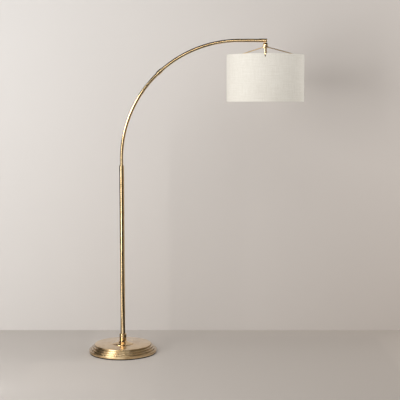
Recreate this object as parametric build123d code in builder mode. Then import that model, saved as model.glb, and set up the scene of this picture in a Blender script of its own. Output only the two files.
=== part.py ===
from build123d import *

# An arc floor lamp: a stepped round base with an iron weight in it, a two-piece pole, an arm that
# turns in the pole's top and bends over in a quarter circle, and a drum shade that hangs from a
# ball joint at the arm's end.
#
# Millimetres. The origin is the centre of the base's underside, +Z is up, and the arm reaches
# out along +X. Pieces are written to parts/, one STEP file each.

import os
from math import asin, cos, degrees, radians, sin

# ---------------------------------------------------------------- driving dimensions

# Base
base_radius = 203.2
pad_thickness = 4.0
plate_thickness = 2.5
foot_inset = 2.5  # the pad and plate stand back from the cover's edge
skirt_height = 15.0  # the cover's straight side wall
step_count = 3
step_width = 11.0
step_rise = 10.6
step_round = 3.2
step_hollow = 0.8
cover_wall = 1.6
weight_thickness = 14.0
weight_gap = 10.0  # between the weight and the cover's wall
weight_hub_radius = 40.0
plate_screw_radius = 2.5
plate_screw_length = 11.0

# Pole foot
flange_radius = 66.0
flange_height = 18.5
flange_lip = 2.4
collar_wall = 6.7
collar_height = 43.0
stem_radius = 8.0
stem_bore = 5.0
plug_length = 30.0

# Pole
pole_radius = 14.3
pole_wall = 1.2
pole_lower_length = 518.0
pole_upper_length = 538.0
joiner_length = 70.0
joiner_wall = 1.6
bush_lip = 3.0
arm_engagement = 60.0  # the arm's straight end that stands inside the pole
bush_ledge = 6.0

# Arm
tube_radius = 9.5
tube_wall = 1.2
arm_rise = 39.0  # straight tube between the pole's top and the start of the arc
arc_radius = 700.0
joint_angle = 47.5  # where the two arc tubes meet, measured along the arc from its start
end_run = 151.0  # from the arc's crown to the shade's axis
coupler_wall = 3.5
coupler_length = 34.0
arm_joiner_length = 60.0
inner_joiner_wall = 1.5
end_sleeve_wall = 1.25
end_sleeve_length = 47.0
end_overhang = 9.5  # the sleeve and its cap past the shade's axis
end_cap_thickness = 2.0

# Ball joint
cup_radius = 14.0
cup_depth = 11.0  # from the ball's centre to the cup's flat underside
cup_ring_thickness = 3.0
ball_radius = 9.0
ball_flat = 6.0  # from the ball's centre to the flat under it
neck_radius = 4.0
neck_bore = 2.4
tilt_limit = 15.0  # degrees that the cup can lean on the ball
stud_nut_height = 3.0
stud_nut_radius = 5.2

# Head
hub_radius = 21.5
hub_thickness = 8.0
pipe_radius = 4.8
pipe_bore = 3.0
head_stem_radius = 8.5
head_stem_length = 47.0
arm_rod_radius = 2.75
arm_rod_depth = 6.0  # rod end let into the hub
shade_radius = 228.5
shade_height = 273.0
shade_drop = 49.0  # from the hub's top to the shade's top edge
fabric_thickness = 0.5
liner_thickness = 0.6
ring_wire_radius = 1.6
clip_width = 6.0
clip_sheet = 1.5
clip_outer_leg = 19.0
clip_inner_leg = 10.0

# Lamp holder and bulb
socket_radius = 16.2
socket_wall = 0.7
socket_length = 52.0
cap_height = 19.0
cap_lap = 7.0  # how far the cap's skirt covers the shell
screw_bore = 13.4  # medium screw lamp base
screw_depth = 29.0
bulb_base_radius = 13.0
bulb_base_length = 23.0
bulb_radius = 30.0
bulb_length = 106.0
glass_wall = 1.0
knob_radius = 6.0
knob_length = 16.0
spindle_radius = 2.5

# Lead and its inlet
lead_radius = 1.9
gland_bore = 3.5
gland_neck = 4.7
gland_flange = 5.9
gland_lip = 2.2
gland_drop = 0.8  # below the middle of the skirt
inlet_gap = 6.0  # between the gland and the lead's end

# Clearances
fit_gap = 0.05  # a turned part in its bore
seat_gap = 0.1  # ball in its seat
body_gap = 0.35  # between pieces that move on one another
skin_gap = 0.3  # clip to shade

# ---------------------------------------------------------------- heights and places

plate_bottom = pad_thickness
cover_bottom = plate_bottom + plate_thickness
skirt_top = cover_bottom + skirt_height
base_top = skirt_top + step_count * step_rise
flange_top = base_top + flange_height
collar_top = flange_top + collar_height
pole_seam = flange_top + pole_lower_length
pole_top = pole_seam + pole_upper_length
bush_top = pole_top + bush_lip
arm_foot = pole_top - arm_engagement
arc_start = pole_top + arm_rise
arm_height = arc_start + arc_radius

head_x = arc_radius + end_run
end_x = head_x + end_overhang
tube_end_x = head_x - 12.0
end_sleeve_radius = tube_radius + end_sleeve_wall
end_bore = tube_radius - tube_wall
sleeve_underside = arm_height - end_sleeve_radius

ball_height = sleeve_underside - cup_radius - skin_gap
cup_bottom = ball_height - cup_depth
hub_bottom = cup_bottom - hub_thickness
stem_bottom = hub_bottom - head_stem_length
shade_top = cup_bottom - shade_drop
shade_bottom = shade_top - shade_height

liner_outer = shade_radius - fabric_thickness
liner_inner = liner_outer - liner_thickness
ring_centre = liner_inner - ring_wire_radius
clip_inner = ring_centre - ring_wire_radius - skin_gap - clip_sheet
clip_outer = shade_radius + skin_gap + clip_sheet
rod_angles = {"front": -94.0, "left": 141.0, "right": 19.0}

cap_bottom = stem_bottom - cap_height
shell_top = cap_bottom + cap_lap
shell_bottom = shell_top - socket_length
screw_top = shell_bottom + screw_depth
knob_height = screw_top + 8.0
bulb_tip = screw_top - 1.8
bulb_neck = bulb_tip - 2.5 - bulb_base_length

pole_bore = pole_radius - pole_wall
plate_radius = base_radius - foot_inset
weight_radius = base_radius - step_width - cover_wall - weight_gap
plate_screw_circle = weight_radius - 25.0
recess_radius = 24.0
recess_top = 39.0
stem_foot = 27.0
lead_height = cover_bottom + 0.5 * skirt_height - gland_drop
lead_bend = 12.0
groove_top = lead_height + 4.0


# ---------------------------------------------------------------- shared shapes


def tube(outer, inner, low, high, x=0.0):
    """An upright tube or ring from low to high, with its axis at x."""
    with BuildPart() as piece:
        with BuildSketch(Plane.XY.offset(low)):
            with Locations((x, 0)):
                Circle(outer)
                if inner > 0:
                    Circle(inner, mode=Mode.SUBTRACT)
        extrude(amount=high - low)
    return piece


def wire_ring(radius, wire_radius, height, x):
    """A ring of round wire lying flat at a height."""
    with BuildPart() as piece:
        with BuildSketch(Plane.XZ):
            with Locations((x + radius, height)):
                Circle(wire_radius)
        revolve(axis=Axis((x, 0, 0), (0, 0, 1)))
    return piece


def at_head(angle, radius, height):
    """A point at an angle and a radius about the shade's axis."""
    return (
        head_x + radius * cos(radians(angle)),
        radius * sin(radians(angle)),
        height,
    )


# ---------------------------------------------------------------- base

base_pad = tube(plate_radius, 0, 0, pad_thickness)

with BuildPart() as base_plate:
    with BuildSketch(Plane.XY.offset(plate_bottom)):
        Circle(plate_radius)
    extrude(amount=plate_thickness)
    with Locations(Plane(origin=(0, 0, plate_bottom), z_dir=(0, 0, -1))):
        with PolarLocations(plate_screw_circle, 4, start_angle=45):
            CounterSinkHole(
                plate_screw_radius + fit_gap,
                2 * (plate_screw_radius + fit_gap),
                depth=plate_thickness,
                counter_sink_angle=90,
            )

with BuildPart() as plate_screws:
    with BuildSketch(Plane.XY.offset(plate_bottom)):
        with PolarLocations(plate_screw_circle, 4, start_angle=45):
            Circle(2 * plate_screw_radius)
    extrude(amount=plate_screw_radius, taper=45)
    with BuildSketch(Plane.XY.offset(plate_bottom + plate_screw_radius - fit_gap)):
        with PolarLocations(plate_screw_circle, 4, start_angle=45):
            Circle(plate_screw_radius)
    extrude(amount=plate_screw_length)
    with BuildSketch(Plane.XY.offset(plate_bottom)):
        with PolarLocations(plate_screw_circle, 4, start_angle=45):
            RegularPolygon(1.6, 6)
    extrude(amount=1.4, mode=Mode.SUBTRACT)

with BuildPart() as base_weight:
    with BuildSketch(Plane.XY.offset(cover_bottom)):
        Circle(weight_radius)
    extrude(amount=weight_thickness)
    with BuildSketch(Plane.XY.offset(cover_bottom)):
        Circle(weight_hub_radius)
    extrude(amount=base_top - cover_wall - cover_bottom)
    fillet(base_weight.edges().group_by(Axis.Z)[-1], radius=2.0)
    with BuildSketch(Plane.XY.offset(cover_bottom)):
        Circle(recess_radius)
    extrude(amount=recess_top - cover_bottom, mode=Mode.SUBTRACT)
    with BuildSketch(Plane.XY.offset(recess_top)):
        Circle(stem_radius + fit_gap)
    extrude(amount=base_top - recess_top, mode=Mode.SUBTRACT)
    # the channel that the lead runs in, from the back edge to the middle
    with BuildSketch(Plane.XY.offset(cover_bottom)):
        with Locations((0, weight_radius / 2)):
            Rectangle(4 * lead_radius, weight_radius)
    extrude(amount=groove_top - cover_bottom, mode=Mode.SUBTRACT)
    with BuildSketch(Plane.XY.offset(cover_bottom)):
        with PolarLocations(plate_screw_circle, 4, start_angle=45):
            Circle(plate_screw_radius + fit_gap)
    extrude(amount=plate_screw_length + 1.0, mode=Mode.SUBTRACT)


def stepped_outline(inset, bore):
    """Corners of half the stepped cover's section, drawn in by a wall, and a rounding for each."""
    corners = [(bore, cover_bottom), (bore, base_top - inset)]
    rounds = [0]
    for step in range(step_count, 0, -1):
        radius = base_radius - step * step_width - inset
        height = skirt_top + step * step_rise - inset
        corners += [(radius, height), (radius, height - step_rise)]
        rounds += [step_round - inset, step_hollow]
    corners += [(base_radius - inset, skirt_top - inset), (base_radius - inset, cover_bottom)]
    rounds += [step_round - inset]
    return corners, rounds


with BuildPart() as base_cover:
    for inset, bore, joined in ((0, stem_radius + fit_gap, Mode.ADD), (cover_wall, 0, Mode.SUBTRACT)):
        corners, rounds = stepped_outline(inset, bore)
        with BuildSketch(Plane.XZ):
            with BuildLine():
                FilletPolyline(*corners, radius=rounds)
                Line(corners[-1], corners[0])
            make_face()
        revolve(axis=Axis.Z, mode=joined)
    # the hole that the gland sits in, through the back of the skirt
    with BuildSketch(Plane(origin=(0, base_radius, lead_height), z_dir=(0, 1, 0))):
        Circle(gland_neck + fit_gap)
    extrude(amount=2 * cover_wall, both=True, mode=Mode.SUBTRACT)

gland_outer_face = base_radius + skin_gap
gland_inner_face = (base_radius - cover_wall) * cos(asin(gland_flange / base_radius)) - skin_gap
with BuildPart() as cord_gland:
    with BuildSketch(Plane(origin=(0, gland_inner_face, lead_height), z_dir=(0, -1, 0))):
        Circle(gland_flange)
    extrude(amount=gland_lip)
    with BuildSketch(Plane(origin=(0, gland_inner_face, lead_height), z_dir=(0, 1, 0))):
        Circle(gland_neck)
    extrude(amount=gland_outer_face - gland_inner_face)
    with BuildSketch(Plane(origin=(0, gland_outer_face, lead_height), z_dir=(0, 1, 0))):
        Circle(gland_flange)
    extrude(amount=gland_lip)
    fillet(cord_gland.edges().group_by(Axis.Y)[-1], radius=1.2)
    fillet(cord_gland.edges().group_by(Axis.Y)[0], radius=1.0)
    with BuildSketch(Plane(origin=(0, gland_inner_face - gland_lip, lead_height), z_dir=(0, 1, 0))):
        Circle(gland_bore)
    extrude(amount=gland_outer_face - gland_inner_face + 2 * gland_lip, mode=Mode.SUBTRACT)

# ---------------------------------------------------------------- threaded tube through the base

washer_bottom = recess_top - 3.0
lock_bottom = washer_bottom - 1.6
nut_bottom = stem_foot + 0.6
stem_washer = tube(18.0, stem_radius + fit_gap, washer_bottom, recess_top)
stem_lock_washer = tube(13.0, stem_radius + fit_gap, lock_bottom, washer_bottom)

with BuildPart() as stem_nut:
    with BuildSketch(Plane.XY.offset(nut_bottom)):
        RegularPolygon(14.0, 6)
        Circle(stem_radius + fit_gap, mode=Mode.SUBTRACT)
    extrude(amount=lock_bottom - nut_bottom)
    with BuildSketch(Plane.XY.offset(nut_bottom)):
        Circle(13.4)
    extrude(amount=lock_bottom - nut_bottom, taper=-14, mode=Mode.INTERSECT)

stem_tube = tube(stem_radius, stem_bore, stem_foot, flange_top + plug_length - 2.0)

# ---------------------------------------------------------------- pole foot

with BuildPart() as base_flange:
    with BuildSketch(Plane.XZ):
        with BuildLine():
            bore = stem_radius + fit_gap
            neck = pole_radius + collar_wall
            rim = base_top + flange_lip
            Polyline((bore, base_top), (flange_radius, base_top), (flange_radius, rim - 0.8))
            Line((flange_radius, rim - 0.8), (flange_radius - 0.8, rim))
            Line((flange_radius - 0.8, rim), (flange_radius - 5.0, rim))
            Bezier(
                (flange_radius - 5.0, rim),
                (neck + 14.0, rim + 1.0),
                (neck + 2.0, rim + 5.0),
                (neck, flange_top),
            )
            Polyline((neck, flange_top), (bore, flange_top), (bore, base_top))
        make_face()
    revolve(axis=Axis.Z)

with BuildPart() as base_collar:
    with BuildSketch(Plane.XY.offset(flange_top)):
        Circle(pole_radius + collar_wall)
        Circle(pole_radius + fit_gap, mode=Mode.SUBTRACT)
    extrude(amount=collar_height)
    collar_edges = base_collar.edges().filter_by(GeomType.CIRCLE).sort_by(Edge.length)[-2:]
    chamfer(collar_edges.sort_by(Axis.Z)[-1], length=3.0)
    chamfer(collar_edges.sort_by(Axis.Z)[0], length=0.8)

pole_foot_plug = tube(pole_bore - fit_gap, stem_radius + fit_gap, flange_top, flange_top + plug_length)

# ---------------------------------------------------------------- pole

pole_lower = tube(pole_radius, pole_bore, flange_top, pole_seam)
pole_joiner = tube(
    pole_bore - fit_gap,
    pole_bore - fit_gap - joiner_wall,
    pole_seam - joiner_length / 2,
    pole_seam + joiner_length / 2,
)
screw_height = pole_top - 18.0
set_screw_radius = 2.5


def set_screw_plane(x, y, height):
    """A plane on the back of a tube, facing back, that a set screw goes in from."""
    return Plane(origin=(x, y, height), z_dir=(0, 1, 0))


with BuildPart() as pole_upper:
    with BuildSketch(Plane.XY.offset(pole_seam)):
        Circle(pole_radius)
        Circle(pole_bore, mode=Mode.SUBTRACT)
    extrude(amount=pole_upper_length)
    with BuildSketch(set_screw_plane(0, 0, screw_height)):
        Circle(set_screw_radius + fit_gap)
    extrude(amount=pole_radius + 1.0, mode=Mode.SUBTRACT)

with BuildPart() as pole_top_bush:
    with BuildSketch(Plane.XY.offset(arm_foot - bush_ledge)):
        Circle(pole_bore - fit_gap)
        Circle(end_bore - 1.5, mode=Mode.SUBTRACT)
    extrude(amount=bush_ledge - body_gap)
    with BuildSketch(Plane.XY.offset(arm_foot - body_gap)):
        Circle(pole_bore - fit_gap)
        Circle(tube_radius + fit_gap, mode=Mode.SUBTRACT)
    extrude(amount=pole_top - arm_foot + body_gap)
    with BuildSketch(Plane.XY.offset(pole_top)):
        Circle(pole_radius)
        Circle(tube_radius + fit_gap, mode=Mode.SUBTRACT)
    extrude(amount=bush_lip)
    lip_edges = pole_top_bush.edges().group_by(Axis.Z)[-1].sort_by(Edge.length)
    chamfer(lip_edges[-1], length=1.2)
    with BuildSketch(set_screw_plane(0, 0, screw_height)):
        Circle(set_screw_radius + fit_gap)
    extrude(amount=pole_radius + 1.0, mode=Mode.SUBTRACT)


def set_screw(planes, length):
    """Grub screws with a hexagon socket, each set in from a plane on a tube's back."""
    with BuildPart() as piece:
        with BuildSketch(*planes):
            Circle(set_screw_radius)
        extrude(amount=-length)
        with BuildSketch(*planes):
            RegularPolygon(1.4, 6)
        extrude(amount=-0.5 * length, mode=Mode.SUBTRACT)
    return piece


arm_set_screw = set_screw(
    [set_screw_plane(0, pole_radius, screw_height)], pole_radius - tube_radius - fit_gap
)

# ---------------------------------------------------------------- arm


def arc_plane(angle, radius=arc_radius):
    """A plane across the arm at an angle along its arc, facing along the arm."""
    turn = radians(angle)
    place = (arc_radius - radius * cos(turn), 0, arc_start + radius * sin(turn))
    return Plane(origin=place, x_dir=(cos(turn), 0, -sin(turn)), z_dir=(sin(turn), 0, cos(turn)))


arc_axis = Axis((arc_radius, 0, arc_start), (0, 1, 0))


with BuildPart() as arc_lower:
    with BuildLine(Plane.XZ) as lower_path:
        Line((0, arm_foot), (0, arc_start))
        CenterArc((arc_radius, arc_start), arc_radius, 180, -joint_angle)
    with BuildSketch(Plane.XY.offset(arm_foot)):
        Circle(tube_radius)
        Circle(end_bore, mode=Mode.SUBTRACT)
    sweep(path=lower_path.line)

with BuildPart() as arc_upper:
    with BuildLine(Plane.XZ) as upper_path:
        CenterArc((arc_radius, arc_start), arc_radius, 180 - joint_angle, joint_angle - 90)
        Line((arc_radius, arm_height), (tube_end_x, arm_height))
    with BuildSketch(arc_plane(joint_angle)):
        Circle(tube_radius)
        Circle(end_bore, mode=Mode.SUBTRACT)
    sweep(path=upper_path.line)

arc_degree = arc_radius * radians(1)
coupler_half = coupler_length / 2 / arc_degree
joiner_half = arm_joiner_length / 2 / arc_degree
coupler_radius = tube_radius + coupler_wall

coupler_screw_angles = [joint_angle + side * coupler_half / 2 for side in (-1, 1)]

with BuildPart() as arc_coupler:
    with BuildSketch(arc_plane(joint_angle - coupler_half)):
        Circle(coupler_radius)
        Circle(tube_radius + fit_gap, mode=Mode.SUBTRACT)
    revolve(axis=arc_axis, revolution_arc=2 * coupler_half)
    coupler_ends = arc_coupler.edges().filter_by(GeomType.CIRCLE)
    coupler_ends = coupler_ends.filter_by(lambda e: abs(e.radius - coupler_radius) < 0.01)
    chamfer(coupler_ends, length=1.2)
    for angle in coupler_screw_angles:
        place = arc_plane(angle).origin
        with BuildSketch(set_screw_plane(place.X, 0, place.Z)):
            Circle(set_screw_radius + fit_gap)
        extrude(amount=coupler_radius + 1.0, mode=Mode.SUBTRACT)

coupler_screws = set_screw(
    [
        set_screw_plane(arc_plane(angle).origin.X, coupler_radius, arc_plane(angle).origin.Z)
        for angle in coupler_screw_angles
    ],
    coupler_radius - tube_radius - fit_gap,
)

with BuildPart() as arc_inner_joiner:
    with BuildSketch(arc_plane(joint_angle - joiner_half)):
        Circle(end_bore - fit_gap)
        Circle(end_bore - fit_gap - inner_joiner_wall, mode=Mode.SUBTRACT)
    revolve(axis=arc_axis, revolution_arc=2 * joiner_half)

end_sleeve_start = end_x - end_sleeve_length
nut_pocket_radius = stud_nut_radius + 0.8
nut_seat = sleeve_underside + 1.75

with BuildPart() as arm_end_sleeve:
    with BuildSketch(Plane(origin=(end_sleeve_start, 0, arm_height), z_dir=(1, 0, 0))):
        Circle(end_sleeve_radius)
    extrude(amount=end_sleeve_length - end_cap_thickness)
    chamfer(arm_end_sleeve.edges().sort_by(Axis.X)[0], length=0.6)
    with BuildSketch(Plane(origin=(end_sleeve_start, 0, arm_height), z_dir=(1, 0, 0))):
        Circle(tube_radius + fit_gap)
    extrude(amount=tube_end_x - end_sleeve_start, mode=Mode.SUBTRACT)
    with BuildSketch(Plane(origin=(tube_end_x, 0, arm_height), z_dir=(1, 0, 0))):
        Circle(end_bore)
    extrude(amount=end_x - tube_end_x, mode=Mode.SUBTRACT)
    # the pocket that the stud's nut sits in, and the hole for its neck
    with BuildSketch(Plane.XY.offset(nut_seat)):
        with Locations((head_x, 0)):
            Circle(nut_pocket_radius)
    extrude(amount=end_bore, mode=Mode.SUBTRACT)
    with BuildSketch(Plane.XY.offset(sleeve_underside - 1.0)):
        with Locations((head_x, 0)):
            Circle(neck_radius + fit_gap)
    extrude(amount=nut_seat - sleeve_underside + 2.0, mode=Mode.SUBTRACT)

with BuildPart() as arm_end_cap:
    with BuildSketch(Plane(origin=(end_x, 0, arm_height), z_dir=(-1, 0, 0))):
        Circle(end_sleeve_radius)
    extrude(amount=end_cap_thickness)
    chamfer(arm_end_cap.edges().sort_by(Axis.X)[-1], length=0.8)
    with BuildSketch(Plane(origin=(end_x - end_cap_thickness, 0, arm_height), z_dir=(-1, 0, 0))):
        Circle(end_bore - fit_gap)
        Circle(end_bore - fit_gap - 1.6, mode=Mode.SUBTRACT)
    extrude(amount=1.0)

# ---------------------------------------------------------------- ball joint

stud_top = nut_seat + body_gap + stud_nut_height

with BuildPart() as ball_stud:
    with BuildSketch(Plane.XZ):
        with BuildLine():
            edge = (ball_radius**2 - ball_flat**2) ** 0.5
            Line((head_x, ball_height - ball_flat), (head_x + edge, ball_height - ball_flat))
            ThreePointArc(
                (head_x + edge, ball_height - ball_flat),
                (head_x + ball_radius, ball_height),
                (head_x, ball_height + ball_radius),
            )
            Line((head_x, ball_height + ball_radius), (head_x, ball_height - ball_flat))
        make_face()
    revolve(axis=Axis((head_x, 0, 0), (0, 0, 1)))
    with BuildSketch(Plane.XY.offset(ball_height)):
        with Locations((head_x, 0)):
            Circle(neck_radius)
    extrude(amount=stud_top - ball_height)
    with BuildSketch(Plane.XY.offset(ball_height - ball_flat)):
        with Locations((head_x, 0)):
            Circle(neck_bore)
    extrude(amount=stud_top - ball_height + ball_flat, mode=Mode.SUBTRACT)

with BuildPart() as stud_nut:
    with BuildSketch(Plane.XY.offset(nut_seat + body_gap)):
        with Locations((head_x, 0)):
            RegularPolygon(stud_nut_radius, 6)
            Circle(neck_radius + fit_gap, mode=Mode.SUBTRACT)
    extrude(amount=stud_nut_height)

seat_radius = ball_radius + seat_gap
mouth_inner = radians(degrees(asin(neck_radius / seat_radius)) + tilt_limit + 3.0)
mouth_outer = radians(degrees(asin(neck_radius / cup_radius)) + tilt_limit + 3.0)


def on_ball(radius, angle):
    """A point of the cup's section at an angle from straight up, about the ball's centre."""
    return (head_x + radius * sin(angle), ball_height + radius * cos(angle))


with BuildPart() as swivel_cup:
    with BuildSketch(Plane.XZ):
        with BuildLine():
            ThreePointArc(
                on_ball(cup_radius, mouth_outer),
                on_ball(cup_radius, radians(70)),
                on_ball(cup_radius, radians(90)),
            )
            Polyline(
                on_ball(cup_radius, radians(90)),
                (head_x + cup_radius, cup_bottom),
                (head_x + cup_radius - 2.0, cup_bottom),
                (head_x + cup_radius - 2.0, cup_bottom + cup_ring_thickness),
                (head_x + seat_radius, cup_bottom + cup_ring_thickness),
                on_ball(seat_radius, radians(90)),
            )
            ThreePointArc(
                on_ball(seat_radius, radians(90)),
                on_ball(seat_radius, radians(70)),
                on_ball(seat_radius, mouth_inner),
            )
            Line(on_ball(seat_radius, mouth_inner), on_ball(cup_radius, mouth_outer))
        make_face()
    revolve(axis=Axis((head_x, 0, 0), (0, 0, 1)))

cup_ring = tube(
    cup_radius - 2.0 - fit_gap,
    pipe_radius + fit_gap,
    cup_bottom,
    cup_bottom + cup_ring_thickness,
    head_x,
)

# ---------------------------------------------------------------- spider

rod_start = (hub_radius - arm_rod_depth, cup_bottom - 3.0)
rod_end = (clip_inner, shade_top - 1.0)


def rod_plane(angle):
    """A plane across a spider rod at its inner end, facing out along the rod."""
    inner = Vector(*at_head(angle, *rod_start))
    outer = Vector(*at_head(angle, *rod_end))
    return Plane(origin=inner, z_dir=outer - inner)


rod_length = ((rod_end[0] - rod_start[0]) ** 2 + (rod_end[1] - rod_start[1]) ** 2) ** 0.5

with BuildPart() as shade_hub:
    with BuildSketch(Plane.XY.offset(hub_bottom)):
        with Locations((head_x, 0)):
            Circle(hub_radius)
    extrude(amount=hub_thickness)
    fillet(shade_hub.edges(), radius=2.0)
    with BuildSketch(Plane.XY.offset(hub_bottom)):
        with Locations((head_x, 0)):
            Circle(pipe_radius + fit_gap)
    extrude(amount=hub_thickness, mode=Mode.SUBTRACT)
    with BuildSketch(*[rod_plane(angle) for angle in rod_angles.values()]):
        Circle(arm_rod_radius + fit_gap)
    extrude(amount=rod_length / 2, mode=Mode.SUBTRACT)

spider_arms = {}
for side, angle in rod_angles.items():
    with BuildPart() as spider_arm:
        with BuildSketch(rod_plane(angle)):
            Circle(arm_rod_radius)
        extrude(amount=rod_length + 2 * arm_rod_radius)
        # trimmed flush to the clip that it is brazed to
        split(
            bisect_by=Plane(
                origin=at_head(angle, clip_inner, shade_top),
                z_dir=(cos(radians(angle)), sin(radians(angle)), 0),
            ),
            keep=Keep.BOTTOM,
        )
    spider_arms[side] = spider_arm

with BuildPart() as rim_clips:
    with BuildSketch(
        *[
            Plane(
                origin=at_head(angle, 0, 0),
                x_dir=(cos(radians(angle)), sin(radians(angle)), 0),
                z_dir=(sin(radians(angle)), -cos(radians(angle)), 0),
            )
            for angle in rod_angles.values()
        ]
    ):
        with BuildLine():
            top = shade_top + skin_gap
            Polyline(
                (clip_inner, top - clip_inner_leg),
                (clip_inner, top + clip_sheet),
                (clip_outer, top + clip_sheet),
                (clip_outer, top - clip_outer_leg),
                (clip_outer - clip_sheet, top - clip_outer_leg),
                (clip_outer - clip_sheet, top),
                (clip_inner + clip_sheet, top),
                (clip_inner + clip_sheet, top - clip_inner_leg),
                close=True,
            )
        make_face()
    extrude(amount=clip_width / 2, both=True)

# ---------------------------------------------------------------- shade

shade_fabric = tube(shade_radius, liner_outer, shade_bottom, shade_top, head_x)
shade_liner = tube(liner_outer, liner_inner, shade_bottom, shade_top, head_x)
shade_top_ring = wire_ring(ring_centre, ring_wire_radius, shade_top - ring_wire_radius, head_x)
shade_bottom_ring = wire_ring(ring_centre, ring_wire_radius, shade_bottom + ring_wire_radius, head_x)

# ---------------------------------------------------------------- pipe and lamp holder

pipe_nut_height = 3.0
pipe_bottom = stem_bottom - 1.2 - pipe_nut_height
head_pipe = tube(pipe_radius, pipe_bore, pipe_bottom, cup_bottom + cup_ring_thickness, head_x)
head_stem = tube(head_stem_radius, pipe_radius + fit_gap, stem_bottom, hub_bottom, head_x)

with BuildPart() as pipe_nut:
    with BuildSketch(Plane.XY.offset(pipe_bottom)):
        with Locations((head_x, 0)):
            RegularPolygon(7.2, 6)
            Circle(pipe_radius + fit_gap, mode=Mode.SUBTRACT)
    extrude(amount=pipe_nut_height)

with BuildPart() as socket_cap:
    cap_wall = 1.2
    cap_radius = socket_radius + fit_gap + cap_wall
    for wall, joined in ((0, Mode.ADD), (cap_wall, Mode.SUBTRACT)):
        with BuildSketch(Plane.XZ):
            with BuildLine():
                low = (head_x + cap_radius - wall, cap_bottom)
                shoulder = (head_x + cap_radius - wall, cap_bottom + cap_lap + 1.0)
                crown = (head_x + head_stem_radius, stem_bottom - wall)
                Line(low, shoulder)
                RadiusArc(shoulder, crown, -cap_radius)
                Polyline(crown, (head_x, stem_bottom - wall), (head_x, cap_bottom), low)
            make_face()
        revolve(axis=Axis((head_x, 0, 0), (0, 0, 1)), mode=joined)
    with BuildSketch(Plane.XY.offset(stem_bottom)):
        with Locations((head_x, 0)):
            Circle(pipe_radius + fit_gap)
    extrude(amount=-2 * cap_wall, mode=Mode.SUBTRACT)

spindle_plane = Plane(origin=(head_x, 0, knob_height), z_dir=(0, -1, 0))

with BuildPart() as socket_shell:
    with BuildSketch(Plane.XY.offset(shell_bottom)):
        with Locations((head_x, 0)):
            Circle(socket_radius)
            Circle(socket_radius - socket_wall, mode=Mode.SUBTRACT)
    extrude(amount=shell_top - shell_bottom)
    with BuildSketch(spindle_plane):
        Circle(spindle_radius + fit_gap)
    extrude(amount=socket_radius + 1.0, mode=Mode.SUBTRACT)

with BuildPart() as socket_insulator:
    with BuildSketch(Plane.XY.offset(shell_bottom + 0.5)):
        with Locations((head_x, 0)):
            Circle(socket_radius - socket_wall - fit_gap)
    extrude(amount=shell_top - shell_bottom - 1.5)
    with BuildSketch(Plane.XY.offset(shell_bottom)):
        with Locations((head_x, 0)):
            Circle(screw_bore + 0.6)
    extrude(amount=screw_depth, mode=Mode.SUBTRACT)
    with BuildSketch(Plane.XY.offset(knob_height + 5.0)):
        with Locations((head_x, 0)):
            Circle(lead_radius + 0.4)
    extrude(amount=shell_top - knob_height, mode=Mode.SUBTRACT)
    with BuildSketch(spindle_plane):
        Circle(spindle_radius + fit_gap)
    extrude(amount=socket_radius + 1.0, mode=Mode.SUBTRACT)

screw_shell = tube(screw_bore + 0.6 - fit_gap, screw_bore, shell_bottom + 1.0, screw_top - 1.0, head_x)

with BuildPart() as centre_contact:
    with BuildSketch(Plane.XY.offset(bulb_tip)):
        with Locations((head_x, 0)):
            Rectangle(9.0, 5.0)
    extrude(amount=screw_top - bulb_tip)
    fillet(centre_contact.edges().filter_by(Axis.Z), radius=1.0)

with BuildPart() as switch_knob:
    spindle_end = spindle_plane.offset(6.0)
    knob_face = spindle_plane.offset(cap_radius + body_gap)
    with BuildSketch(spindle_end):
        Circle(spindle_radius)
    extrude(amount=cap_radius + body_gap - 6.0)
    with BuildSketch(knob_face):
        Circle(knob_radius)
    extrude(amount=3.0)
    with BuildSketch(knob_face.offset(3.0)):
        SlotOverall(2 * knob_radius - 1.0, 4.5)
    extrude(amount=knob_length - 3.0)
    fillet(switch_knob.edges().group_by(Axis.Y)[0], radius=1.4)

# ---------------------------------------------------------------- bulb

with BuildPart() as bulb_base:
    with BuildSketch(Plane.XY.offset(bulb_neck)):
        with Locations((head_x, 0)):
            Circle(bulb_base_radius)
    extrude(amount=bulb_base_length)
    with BuildSketch(Plane.XY.offset(bulb_neck + bulb_base_length)):
        with Locations((head_x, 0)):
            Circle(bulb_base_radius - 2.0)
    extrude(amount=bulb_tip - bulb_neck - bulb_base_length, taper=60)

bulb_bottom = bulb_tip - bulb_length
bulb_centre = bulb_bottom + bulb_radius
with BuildPart() as bulb_glass:
    for wall, joined in ((0, Mode.ADD), (glass_wall, Mode.SUBTRACT)):
        with BuildSketch(Plane.XZ):
            with BuildLine():
                top = (head_x + bulb_base_radius - wall, bulb_neck)
                waist = (head_x + bulb_radius - wall, bulb_centre)
                Line((head_x, bulb_neck), top)
                Spline(top, waist, tangents=[(0.15, -1), (0, -1)])
                ThreePointArc(
                    waist,
                    (
                        head_x + (bulb_radius - wall) * cos(radians(45)),
                        bulb_centre - (bulb_radius - wall) * sin(radians(45)),
                    ),
                    (head_x, bulb_bottom + wall),
                )
                Line((head_x, bulb_bottom + wall), (head_x, bulb_neck))
            make_face()
        revolve(axis=Axis((head_x, 0, 0), (0, 0, 1)), mode=joined)

# ---------------------------------------------------------------- lead, split at each joint


def lead(path):
    """Round lead along a path."""
    with BuildPart() as piece:
        with BuildSketch(Plane(origin=path.line @ 0, z_dir=path.line % 0)):
            Circle(lead_radius)
        sweep(path=path.line)
    return piece


with BuildLine(Plane.YZ) as pole_lead_path:
    inlet = gland_inner_face - gland_lip - inlet_gap
    Line((inlet, lead_height), (lead_bend, lead_height))
    CenterArc((lead_bend, lead_height + lead_bend), lead_bend, 270, -90)
    Line((0, lead_height + lead_bend), (0, arm_foot - body_gap))
pole_lead = lead(pole_lead_path)

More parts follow.
